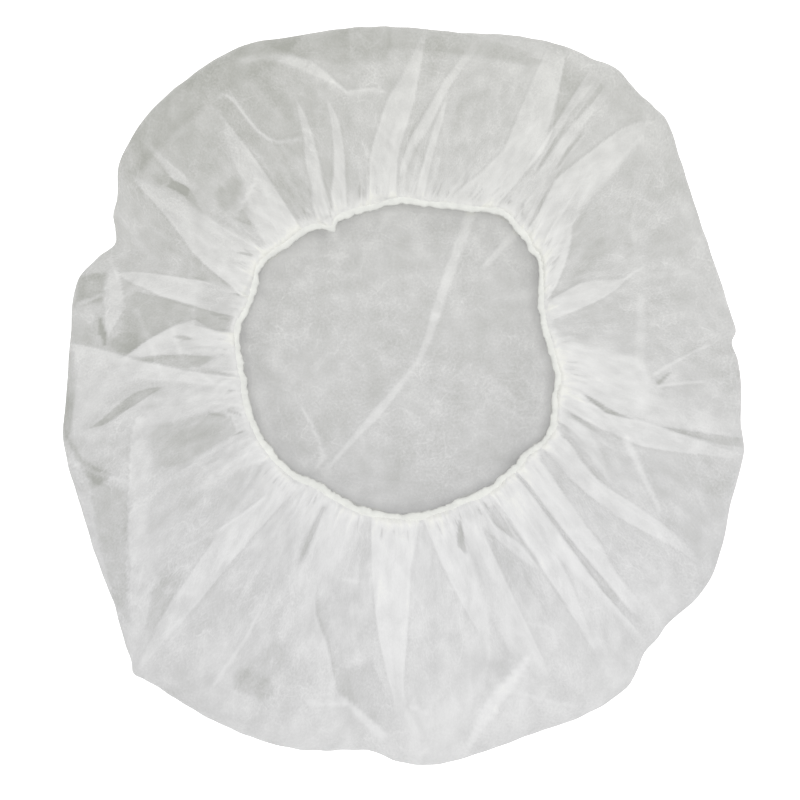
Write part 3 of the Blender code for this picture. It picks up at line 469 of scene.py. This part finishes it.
def charted(points):
    """Bearing, and millimetres from the mouth's middle, of places in metres."""
    away = ((points - cap_middle) * outline_size / cap_size + outline_middle) * BRIM_LOOKS + BRIM_SHIFT
    bearing = np.degrees(np.arctan2(away[..., 1], away[..., 0])) % 360
    return bearing, np.linalg.norm(away, axis=-1) * SHARE_LENGTH


mouth_centre = placed(np.zeros(2))


def outward(points):
    """Unit steps away from the mouth's middle."""
    away = points - mouth_centre
    return away / np.linalg.norm(away, axis=-1, keepdims=True)


def outline_points(bearings, inset):
    """Places a given way in from the cap's outline."""
    points = placed(chart(bearings, smooth_reach(OUTLINE, bearings)))
    return points - outward(points) * np.asarray(inset)[..., None]


def hem_points(bearings, out):
    """Places a given way out from the hem's inner edge."""
    points = placed(chart(bearings, smooth_reach(MOUTH, bearings)))
    return points + outward(points) * np.asarray(out)[..., None]


def raised(flat, level):
    """Places on the plan with their heights."""
    return np.concatenate([flat, level[..., None]], axis=-1)


def ease(share):
    """0 to 1 with soft ends."""
    share = np.clip(share, 0, 1)
    return share * share * (3 - 2 * share)


def bell(away, width):
    """1 in the middle, falling off on both sides over a width."""
    return np.exp(-(away / width) ** 2)


def apart(bearings, other):
    """Degrees from one bearing to others, from -180 to 180."""
    return (bearings - other + 180) % 360 - 180


def sway(turn, *waves):
    """A sum of waves round the mouth, each given as (strength, number of waves, start)."""
    return sum(strength * np.sin(turn * count + start) for strength, count, start in waves)


def rumple(points, lengths, seed):
    """Soft random waves of about those wavelengths, from -1 to 1, as cloth has after unpacking."""
    draw = np.random.default_rng(seed)
    total = np.zeros(points.shape[:-1])
    for length in lengths:
        turn = draw.uniform(0, math.tau)
        start = draw.uniform(0, math.tau)
        way = np.array([math.cos(turn), math.sin(turn)]) * math.tau / length
        total += np.sin(points @ way + start)
    return total / math.sqrt(len(lengths))


def along_path(points, path):
    """Distance of each point from a path, and how far along it the nearest place is, from 0 to 1."""
    path = np.asarray(path)
    lengths = np.linalg.norm(np.diff(path, axis=0), axis=1)
    starts = np.concatenate([[0], np.cumsum(lengths)])
    best = np.full(points.shape[:-1], np.inf)
    where = np.zeros(points.shape[:-1])
    for place, (start, end) in enumerate(zip(path, path[1:])):
        line = end - start
        share = np.clip(((points - start) @ line) / (line @ line), 0, 1)
        away = np.linalg.norm(points - (start + share[..., None] * line), axis=-1)
        closer = away < best
        best = np.where(closer, away, best)
        where = np.where(closer, (starts[place] + share * lengths[place]) / starts[-1], where)
    return best, where


def add_crease(points, height, tone, path, strength, rise, width, end_width):
    """A pressed ridge along a path, flat on top, fading at its ends."""
    away, where = along_path(points, path)
    half = (width + (end_width - width) * where) * MM / 2
    ridge = ease((half - away) / (CREASE_SIDE + half * 0.15) + 0.5)
    ridge = ridge * ease(where / CREASE_TIP) * ease((1 - where) / CREASE_TIP)
    height += rise * MM * ridge
    tone += strength * ridge


def side_line(radius, out, bearings):
    """A fold's side at each radius, and what turns distances round the mouth into distances square to it."""
    slope = (np.interp(radius + 1, out, bearings) - np.interp(radius - 1, out, bearings)) / 2
    return np.interp(radius, out, bearings), 1 / np.hypot(1, slope * radius * math.pi / 180)


def add_fold(bearing, radius, height, tone, row, number):
    """One pleat or gap: its tone within its sides, strongest near its crisp side and streaked along its
    length, with a bright line just inside a pleat's crisp side, partly a painted highlight, and a painted
    shadow just outside it; and its height."""
    strength, rise, edges = row[:3]
    stations = np.array(row[3:], float)
    middle = stations[:, 1:].mean()
    turn = apart(bearing, middle) + middle
    arc = radius * math.pi / 180
    low, low_slant = side_line(radius, stations[:, 0], stations[:, 1])
    high, high_slant = side_line(radius, stations[:, 0], stations[:, 2])
    from_low = (turn - low) * arc * low_slant
    from_high = (high - turn) * arc * high_slant
    start, end = stations[0, 0], stations[-1, 0]
    tip = min(0.25 * (end - start), PLEAT_TIP)
    root = tip if start > UNDER_HEM else 1
    within = ease((radius - start) / root + 0.5) * ease((end - radius) / tip + 0.5)
    cover = within
    line = 0
    for side, away in (("low", from_low), ("high", from_high)):
        crisp = edges in ("both", side)
        ramp = CRISP_SIDE if crisp else FAINT_SIDE if edges == "faint" else SOFT_SIDE
        cover = cover * ease(away / ramp + 0.4)
        if crisp and strength > 0:
            # Along a crisp side: whiter where the fold doubles the cloth, partly a painted highlight, and a
            # painted shadow on the cloth just outside.
            line = line + BRIGHT_LINE * bell(away - 0.5, 0.5) - PAINTED_EDGE_SHADOW * bell(away + 0.8, 0.6)
    across = np.clip((turn - low) / np.maximum(high - low, 0.05), 0, 1)
    lean = {"low": 1 - across, "high": across}.get(edges, np.full(across.shape, 0.65))
    draw = np.random.default_rng(200 + number)
    width = (stations[:, 2] - stations[:, 1]).mean() * stations[:, 0].mean() * math.pi / 180
    knots = np.cumsum(draw.uniform(0.5, 2.2, int(width) + 5)) - 1
    streak = np.interp(across * width, knots, draw.normal(0, 1, len(knots)))
    streak = streak * (0.6 + 0.4 * np.sin(radius / draw.uniform(4, 11) + draw.uniform(0, 6)))
    outer = (radius - start) / (end - start)
    fade = 0.3 * ease((radius - FADES_FROM) / FADES_OVER) + 0.3 * ease((outer - 0.4) / 0.6)
    fade = 1 - fade * (strength > 0)
    bulge = np.sin(math.pi * across ** {"low": 0.7, "high": 1.6}.get(edges, 1))
    bulge = bulge * ease((end - radius) / (0.6 * (end - start)))
    height += rise * MM * cover * (0.25 + 0.75 * bulge)
    sides = (from_low > -2) & (from_high > -2)
    tone += strength * fade * cover * (0.74 + 0.4 * lean) + line * within * sides * fade
    tone += STREAKS * streak * cover * (0.55 + np.exp(-(radius - HEM_AT) / 30))


def add_gathers(bearing, radius, height, tone, hem_radius):
    """Fine random tucks that fan out from the hem: ridges of doubled cloth, and a few nicks, small slits
    darkened with painted shade.
    """
    draw = np.random.default_rng(11)
    beyond = radius - hem_radius
    near = beyond < TUCK_REACH
    turn, gone, arc = bearing[near], beyond[near], radius[near] * math.pi / 180
    lift = np.zeros(turn.shape)
    shade = np.zeros(turn.shape)
    for number in range(TUCKS + NICKS):
        tuck = number < TUCKS
        place = draw.uniform(0, 360)
        lean = smooth_reach(LEAN, place) + draw.normal(0, 0.08)
        length = draw.gamma(1.8, 8) if tuck else draw.uniform(2.5, 9)
        width = draw.uniform(0.5, 1.4) if tuck else draw.uniform(0.35, 0.8)
        # A nick's tone under 0 is painted shade in its slit.
        strength = draw.uniform(0.10, 0.44) if tuck else -draw.uniform(0.4, 1.1)
        begin = 0 if tuck else draw.uniform(2.5, 6)
        away = apart(turn, place) * arc - lean * gone
        share = np.clip((gone - begin) / length, 0, 1)
        taper = 1 - share if tuck else np.sin(math.pi * share)
        if not tuck:
            away = np.where(away > 0, away * 2.2, away)
        ridge = bell(away, width * (0.35 + 0.65 * taper)) * ease(taper * 1.8)
        lift += (0.45 if tuck else -0.4) * width * ridge
        shade += strength * ridge
    height[near] += MM * lift * ease((gone - 0.8) / 2.5)
    tone[near] += shade


def add_crumples(points, height, tone, count, seed, middle, reach):
    """Short faint creases in every direction, as the web keeps after it was folded in its packet."""
    draw = np.random.default_rng(seed)
    for _ in range(count):
        place = middle + draw.uniform(-1, 1, 2) * reach
        turn = draw.uniform(0, math.tau)
        bend = draw.normal(0, 0.35)
        length = draw.uniform(0.006, 0.024)
        step = np.array([math.cos(turn), math.sin(turn)]) * length
        after = np.array([math.cos(turn + bend), math.sin(turn + bend)]) * length
        path = [place, place + step, place + step + after]
        add_crease(points, height, tone, path, draw.gamma(1.6, 0.06), draw.uniform(0.1, 0.3),
                   draw.uniform(1.6, 2.8), draw.uniform(1.6, 2.8))


def brim_lattice():
    """Places and tones of the brim and the upper half of the rolled rim, from inside the hem outwards, and
    the brim's heights."""
    share = np.linspace(0, 1, BRIM_STEPS) ** BRIM_CROWDING
    bearings = np.arange(COLUMNS) * 360 / COLUMNS
    start = hem_points(bearings, EDGE_IN_HEM)
    points = start + (outline_points(bearings, RIM_DEPTH) - start) * share[:, None, None]
    insets = RIM_DEPTH * (1 - np.cos(RIM_TURNS[UPPER_RIM]))
    points = np.concatenate([points, [outline_points(bearings, inset) for inset in insets]])
    bearing, radius = charted(points)
    from_edge = radius - radius[0]
    hem_radius = radius[0] + GATHERS_FROM
    top = hem_height + HEM_TOP
    share = np.append(share, np.ones(len(insets)))
    base = top + (RIM_HEIGHT - top) * share
    base = base + BRIM_BULGE * np.sin(math.pi * share) ** 0.9 * ease(share / 0.10)
    base = base - HEM_TOP * (1 - ease(share / 0.026))
    height = np.zeros(radius.shape)
    tone = np.zeros(radius.shape)
    for number, row in enumerate(FOLDS):
        add_fold(bearing, radius, height, tone, row, number)
    for strength, rise, width, end_width, *places in CREASES:
        reaches, turns = np.array(places).T
        path = placed((chart(turns, reaches / SHARE_LENGTH) - BRIM_SHIFT) / BRIM_LOOKS)
        add_crease(points, height, tone, path, strength, rise, width, end_width)
    add_gathers(bearing, radius, height, tone, hem_radius)
    add_crumples(points, height, tone, CRUMPLES, 21, cap_middle, cap_size / 2)
    height *= ease(from_edge / FOLDS_RISE_OVER)
    loose = np.sin(math.pi * share)[:, None]
    for rise, lengths, seed in LOOSE_WAVES:
        height += rise * loose * rumple(points, lengths, seed)
    turn = np.radians(bearings)
    puckers = np.sin(turn * PUCKERS + sway(turn, (1.7, 29, 0)))
    height += PUCKER_RISE * (puckers - 0.15) * bell(from_edge, PUCKER_REACH)
    beyond = np.maximum(radius - hem_radius, 0)
    # Painted light and shade on the bare cloth, by bearing: lighter towards -Y.
    tone += smooth_reach(PAINTED_LIGHT_ON_BARE_CLOTH, bearing) * ease(beyond / BARE_FROM)
    tone += GATHERED_TONE * bell(beyond, GATHERED_REACH)
    turned_edge = TURNED_REACH + sway(turn, (0.5, 23, 0), (0.5, 37, 1))
    tone = np.clip(tone, *FOLD_TONES) + TURNED_TONE * bell(beyond, turned_edge)
    return points, (base[:, None] + height)[:BRIM_STEPS], np.minimum(tone, WHITEST)


def sheet_lattice():
    """The whole sheet as rings of points: brim, rolled rim and crown, with its tones."""
    points, height, tone = brim_lattice()
    rows = [raised(points[:BRIM_STEPS], height)]
    tones = [tone]
    column = np.arange(COLUMNS)
    crown_columns = column - column % CROWN_COLUMN_STEP
    rim = column * 360 / COLUMNS
    rim_lift = height[-1] - RIM_HEIGHT
    edge_roll = EDGE_WAVE * rumple(outline_points(rim, 0), (0.019, 0.015, 0.012, 0.010), 5)
    for turn, upper in zip(RIM_TURNS, UPPER_RIM):
        keep = column if upper else crown_columns
        inset = (RIM_DEPTH * (1 - math.cos(turn)) + edge_roll * math.cos(turn))[keep]
        level = FLOOR_GAP + (RIM_HEIGHT - FLOOR_GAP) / 2 * (1 + math.sin(turn))
        level = level + rim_lift[keep] * max(math.sin(turn), 0)
        rows.append(raised(outline_points(rim[keep], inset), level)[None])
        if not upper:
            tones.append(tone[-1:, keep] * 0.5)
    edge = outline_points(rim, RIM_DEPTH)
    reach = np.linalg.norm(edge - mouth_centre, axis=-1)
    outer = np.linspace(0, 1, OUTER_CROWN_STEPS + 1)[1:, None]
    inner = np.linspace(1, 0, INNER_CROWN_STEPS + 1)[1:, None]
    radii = [reach + (MOUTH_VIEW - reach) * outer, np.repeat(MOUTH_VIEW * inner, COLUMNS, axis=1)]
    radii = np.concatenate(radii)[:, crown_columns]
    flat = mouth_centre + outward(edge)[crown_columns] * radii[..., None]
    lift = np.zeros(radii.shape)
    stripe = np.full(radii.shape, CROWN_TONE)
    for strength, rise, width, end_width, *places in CROWN_CREASES:
        add_crease(flat, lift, stripe, placed(np.array(places)), strength, rise, width, end_width)
    add_crumples(flat, lift, stripe, CROWN_CRUMPLES, 31, mouth_centre, np.array([MOUTH_VIEW, MOUTH_VIEW]))
    hem_reach = np.linalg.norm(hem_points(rim, 0) - mouth_centre, axis=-1)
    inside = np.maximum(hem_reach[crown_columns] - radii, 0)
    # Painted light: the crown is whitened round the inside of the hem, as light through the thin brim would
    # lift the shade that the hem casts there.
    stripe += 0.35 * bell(inside, 0.007) + 1.2 * np.exp(-inside / 0.0020)
    settled = ease((reach[crown_columns] - radii) / CROWN_SETTLES)
    wave = CROWN_WAVE * (1 + rumple(flat, (0.060, 0.043, 0.031), 6) / 1.8)
    rows.append(raised(flat, FLOOR_GAP + settled * (lift + wave)))
    tones.append(stripe)
    return np.concatenate(rows), np.concatenate(tones)


def cut_map(lattice):
    """Where each point lay on the flat disc, from 0 to 1 across it: hem at the edge, crown in the middle."""
    rings = np.linalg.norm(np.diff(lattice, axis=0), axis=-1).mean(axis=1)
    radius = np.concatenate([[0], np.cumsum(rings)])
    radius = 0.5 * (1 - radius / radius[-1])
    steps = np.linalg.norm(np.roll(lattice, -1, axis=1) - lattice, axis=-1) + 1e-9
    turn = math.tau * (np.cumsum(steps, axis=1) - steps) / steps.sum(axis=1, keepdims=True)
    even = np.arange(COLUMNS) * math.tau / COLUMNS
    turn = turn - np.angle(np.exp(1j * (turn - even)).mean(axis=1, keepdims=True))
    return np.stack([0.5 + radius[:, None] * np.cos(turn), 0.5 + radius[:, None] * np.sin(turn)], axis=-1)


def linear(code):
    """A colour written as sRGB hex, as linear red, green and blue with a full alpha."""
    parts = [int(code[place:place + 2], 16) / 255 for place in (1, 3, 5)]
    return [part / 12.92 if part <= 0.04045 else ((part + 0.055) / 1.055) ** 2.4 for part in parts] + [1]


def fill_ramp(ramp, rows):
    """Sets a ramp's colours from rows of (place from 0 to 1, sRGB hex)."""
    ramp.elements.remove(ramp.elements[1])
    for number, (place, code) in enumerate(rows):
        element = ramp.elements.new(place) if number else ramp.elements[0]
        element.position = place
        element.color = linear(code)


def span(low, high, start=0.0, end=1.0):
    """Settings that carry values between low and high over to values between start and end."""
    return {"From Min": low, "From Max": high, "To Min": start, "To Max": end}


def add_node(tree, kind, values=(), **links):
    """Adds a node with its settings and numbered or named input values, then links its inputs."""
    node = tree.nodes.new("ShaderNode" + kind)
    for name, value in dict(values).items():
        if isinstance(name, int) or name in node.inputs:
            node.inputs[name].default_value = value
        else:
            setattr(node, name, value)
    for name, source in links.items():
        place = int(name[1:]) if name[0] == "_" else name.replace("_", " ")
        tree.links.new(source, node.inputs[place])
    return node.outputs[0]


def new_material(name, roughness, gloss=0.5):
    """A material with its node tree and its shader."""
    made = bpy.data.materials.new(name)
    made.use_nodes = True
    shader = made.node_tree.nodes["Principled BSDF"]
    shader.inputs["Roughness"].default_value = roughness
    shader.inputs["Specular IOR Level"].default_value = gloss
    return made, made.node_tree, shader


def spunbond_nonwoven():
    """White spunbond polypropylene: fine filaments laid at random and bonded hot. It looks matt and chalky,
    clouded where the web is uneven, rough in some patches and smooth in others, with stray filaments that
    catch the light, and a little warmer towards +Y. The filaments are drawn some 30 times as coarse as real
    ones, because those are too fine to show."""
    made, tree, shader = new_material("white spunbond nonwoven", 0.88, 0.3)
    shader.inputs["IOR"].default_value = 1.49
    on_cut = add_node(tree, "UVMap", {"uv_map": "cut"})
    place = add_node(tree, "Mapping", {"Scale": (CUT, CUT, CUT)}, Vector=on_cut)
    clouds, mottles, patches, folds, specks = [
        add_node(tree, "TexNoise",
                 {"Scale": 1 / size, "Detail": detail, "Roughness": rough, "Distortion": bent}, Vector=place)
        for size, detail, rough, bent in (
            # size in metres, detail, roughness and distortion of each pattern
            (0.009, 2.0, 0.5, 0.0), (0.019, 1.0, 0.5, 0.8), (0.030, 1.0, 0.5, 0.0), (0.021, 2.0, 0.5, 0.8),
            (0.0012, 2.0, 0.6, 0.0))]
    fibres = None
    for angle, shift in ((10, 0.0), (38, 0.31), (67, 0.57), (98, 0.83), (126, 0.24), (157, 0.46)):
        turned = add_node(tree, "Mapping", {
            "vector_type": "TEXTURE", "Location": (shift, shift * 0.7, 0),
            "Rotation": (0, 0, math.radians(angle)), "Scale": (0.0065, 0.0007, 1)}, Vector=place)
        strand = add_node(tree, "TexNoise", {"Scale": 1.0, "Detail": 1.0, "Distortion": 0.3}, Vector=turned)
        sharp = add_node(tree, "MapRange", span(0.64, 0.76), Value=strand)
        fibres = sharp if fibres is None else add_node(
            tree, "Math", {"operation": "MAXIMUM"}, _0=fibres, _1=sharp)
    off_middle = add_node(tree, "Math", {"operation": "SUBTRACT", 1: 0.5}, _0=folds)
    nearness = add_node(tree, "Math", {"operation": "ABSOLUTE"}, _0=off_middle)
    crinkle = add_node(tree, "MapRange", span(0.0, 0.016, 1.0, 0.0), Value=nearness)
    layers = add_node(tree, "Attribute", {"attribute_name": "layers"}).node.outputs["Fac"]

    def blend(parts):
        """Adds patterns up, each given as (pattern, strength, offset)."""
        total = None
        for source, strength, offset in parts:
            scaled = add_node(tree, "Math", {"operation": "MULTIPLY_ADD", 1: strength, 2: offset}, _0=source)
            total = scaled if total is None else add_node(
                tree, "Math", {"operation": "ADD"}, _0=total, _1=scaled)
        return total

    rough = add_node(tree, "MapRange", span(0.36, 0.62, 0.5, 0.95), Value=patches)
    evenness = add_node(tree, "MapRange", span(0.0, 0.9, 1.0, 0.45), Value=layers)
    calm = add_node(tree, "Math", {"operation": "MULTIPLY"}, _0=rough, _1=evenness)
    fine = blend(((specks, 2.05, -1.025), (fibres, 0.45, -0.04), (crinkle, 0.4, -0.05)))
    soft = blend(((clouds, 1.4, -0.7), (mottles, 1.2, -0.6), (layers, 1.0, 0.0)))
    total = add_node(tree, "Math", {"operation": "MULTIPLY_ADD"}, _0=fine, _1=calm, _2=soft)
    spread = add_node(tree, "MapRange", span(GREYEST, WHITEST), Value=total)
    colour = add_node(tree, "ValToRGB", Fac=spread)
    fill_ramp(colour.node.color_ramp, [((tone - GREYEST) / (WHITEST - GREYEST), code) for tone, code in (
        (GREYEST, "#ABACA8"), (0.0, "#CCCCCC"), (0.75, "#DBDBDB"), (1.4, "#E5E5E5"), (WHITEST, "#EFEFEB"))])
    object_place = add_node(tree, "TexCoord").node.outputs["Object"]
    spot = add_node(tree, "SeparateXYZ", Vector=object_place)
    warmth = add_node(tree, "MapRange", span(-0.08, 0.16, 1.0, 0.965), Value=spot.node.outputs["Y"])
    tint = add_node(tree, "CombineXYZ", {"X": 1.0, "Y": 1.0}, Z=warmth)
    tinted = add_node(tree, "VectorMath", {"operation": "MULTIPLY"}, _0=colour, _1=tint)
    tree.links.new(tinted, shader.inputs["Base Color"])
    relief = add_node(tree, "Math", {"operation": "MULTIPLY_ADD", 1: 0.6}, _0=fibres, _2=specks)
    bump = add_node(tree, "Bump", {"Strength": 0.35, "Distance": 0.0002}, Height=relief)
    tree.links.new(bump, shader.inputs["Normal"])
    return made


def shown(mesh_source, name, material):
    """Turns a bmesh into a smooth-shaded object with its material."""
    data = bpy.data.meshes.new(name)
    mesh_source.to_mesh(data)
    mesh_source.free()
    data.shade_smooth()
    data.materials.append(material)
    made = bpy.data.objects.new(name, data)
    scene.collection.objects.link(made)
    return made


def gathered_sheet():
    """The disc as a grid of cloth, wrapped round, laid on the lattice and closed along its seam."""
    lattice, tones = sheet_lattice()
    flat = cut_map(lattice)
    rings = lattice.shape[0]
    cloth = bmesh.new()
    bmesh.ops.create_grid(cloth, x_segments=COLUMNS, y_segments=rings - 1, size=0.5)
    layers = cloth.verts.layers.float.new("layers")
    cut = cloth.loops.layers.uv.new("cut")
    places = {}
    for vert in cloth.verts:
        column = round((vert.co.x + 0.5) * COLUMNS) % COLUMNS
        ring = round((vert.co.y + 0.5) * (rings - 1))
        places[vert] = (ring, column)
    for face in cloth.faces:
        for loop in face.loops:
            loop[cut].uv = flat[places[loop.vert]]
    for vert, place in places.items():
        vert.co = lattice[place]
        vert[layers] = tones[place]
    bmesh.ops.remove_doubles(cloth, verts=list(cloth.verts), dist=SAME_PLACE)
    bmesh.ops.reverse_faces(cloth, faces=list(cloth.faces))
    return shown(cloth, "nonwoven_sheet", spunbond_nonwoven())


sheet = gathered_sheet()
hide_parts("cap_body")
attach(sheet, "root")

# The elastic hem: the sheet's edge rolled round a thread of elastic and sewn down while stretched, so that
# it shrinks back into a narrow, creamy white roll with fine puckers and an uneven inner edge.
HEM_PUCKER = 0.0030         # from one pucker to the next
HEM_AROUND = 14
STEPS_IN_PUCKER = 6
TUFTS = 420                 # small random bulges along the hem
WANDER = 0.0002             # how far the hem strays from its path, at most WANDER_MOST
WANDER_MOST = 0.0007
hem_length = math.tau * float(smooth_reach(MOUTH, ALL_ROUND).mean()) * SHARE_LENGTH * MM
pucker_count = round(hem_length / HEM_PUCKER)
HEM_ALONG = pucker_count * STEPS_IN_PUCKER


def gathered_hem():
    """Layers of the same nonwoven rolled round elastic: denser, so whiter, with the thread's faint cream."""
    made, tree, shader = new_material("gathered elastic hem", 0.82, 0.3)
    where = add_node(tree, "TexCoord").node.outputs["Object"]
    mottle = add_node(tree, "TexNoise", {"Scale": 1 / 0.004, "Detail": 3.0}, Vector=where)
    colour = add_node(tree, "ValToRGB", Fac=mottle)
    fill_ramp(colour.node.color_ramp, ((0.3, "#DDDEDA"), (0.7, "#E9EAE5")))
    tree.links.new(colour, shader.inputs["Base Color"])
    web = add_node(tree, "TexNoise", {"Scale": 1 / 0.0008, "Detail": 2.0}, Vector=where)
    bump = add_node(tree, "Bump", {"Strength": 0.3, "Distance": 0.0002}, Height=web)
    tree.links.new(bump, shader.inputs["Normal"])
    return made


def rolled_hem():
    """A grid wrapped into a tube along the mouth, pinched into puckers."""
    roll = bmesh.new()
    bmesh.ops.create_grid(roll, x_segments=HEM_ALONG, y_segments=HEM_AROUND, size=0.5)
    flat = np.array([vert.co for vert in roll.verts])
    along = np.round((flat[:, 0] + 0.5) * HEM_ALONG) % HEM_ALONG / HEM_ALONG
    turn = np.round((flat[:, 1] + 0.5) * HEM_AROUND) % HEM_AROUND / HEM_AROUND * math.tau
    phase = along * math.tau
    drift = sway(phase, (1.6, 7, 0), (1.3, 19, 1), (1.0, 33, 2))
    depth = 0.5 + 0.5 * np.sin(phase * 13 + 0.7) * np.sin(phase * 5 + 2.1)
    pinch = np.abs(np.sin(phase * pucker_count / 2 + drift / 2 + 0.6 * np.sin(turn))) ** 0.7
    size = 0.93 + 0.12 * depth * (pinch - 0.6)
    draw = np.random.default_rng(71)
    tufts = np.interp(along * TUFTS % TUFTS, np.arange(TUFTS + 1), np.append(draw.normal(0, 1, TUFTS), 0))
    wander = WANDER * (sway(phase, (1, 23, 0.4), (1, 41, 2.2), (1, 61, 1.1)) + tufts)
    out = HEM_WIDTH / 2 * (1 + np.cos(turn) * size) + np.clip(wander, -WANDER_MOST, WANDER_MOST)
    lift = HEM_ROLL * np.sin(turn) * size + sway(phase, (0.0003, 17, 0.9))
    for vert, point in zip(roll.verts, raised(hem_points(along * 360, out), hem_height + lift)):
        vert.co = point
    bmesh.ops.remove_doubles(roll, verts=list(roll.verts), dist=SAME_PLACE)
    bmesh.ops.recalc_face_normals(roll, faces=list(roll.faces))
    return shown(roll, "rolled_hem", gathered_hem())


hem = rolled_hem()
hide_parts("elastic_edge")
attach(hem, "root")

# The floor: a plain table painted matt white, lit enough to lose itself in the photo's white ground. It
# reaches far past the cap, so that no edge of it shows.
FLOOR_SIDE = 6.0


def painted_table():
    """Matt white paint: even, almost without gloss, and bright enough to look like the photo's ground."""
    made, _, shader = new_material("white painted table", 0.9)
    shader.inputs["Base Color"].default_value = linear("#F4F4F4")
    shader.inputs["Emission Color"].default_value = (1, 1, 1, 1)
    shader.inputs["Emission Strength"].default_value = 0.6
    return made


ground = bmesh.new()
bmesh.ops.create_grid(ground, x_segments=1, y_segments=1, size=FLOOR_SIDE / 2)
floor = shown(ground, "floor", painted_table())

# Studio light: one wide soft box high on the lower right, and a weak pale surround that fills the shadows
# in the mouth and under the rim.
LAMP_PLACE = (0.08, -0.16, 2.4)
lamp_data = bpy.data.lights.new("softbox", "AREA")
lamp_data.shape = "SQUARE"
lamp_data.size = 2.0
lamp_data.energy = 35.0
lamp = bpy.data.objects.new("softbox", lamp_data)
lamp.location = LAMP_PLACE
across, along, up = LAMP_PLACE
lamp.rotation_euler = (math.atan2(along, up), math.atan2(across, up), 0)
scene.collection.objects.link(lamp)
surround = bpy.data.worlds.new("pale studio")
surround.use_nodes = True
backdrop = surround.node_tree.nodes["Background"]
backdrop.inputs["Color"].default_value = (1, 1, 1, 1)
backdrop.inputs["Strength"].default_value = 0.55
scene.world = surround
scene.view_settings.view_transform = "Standard"
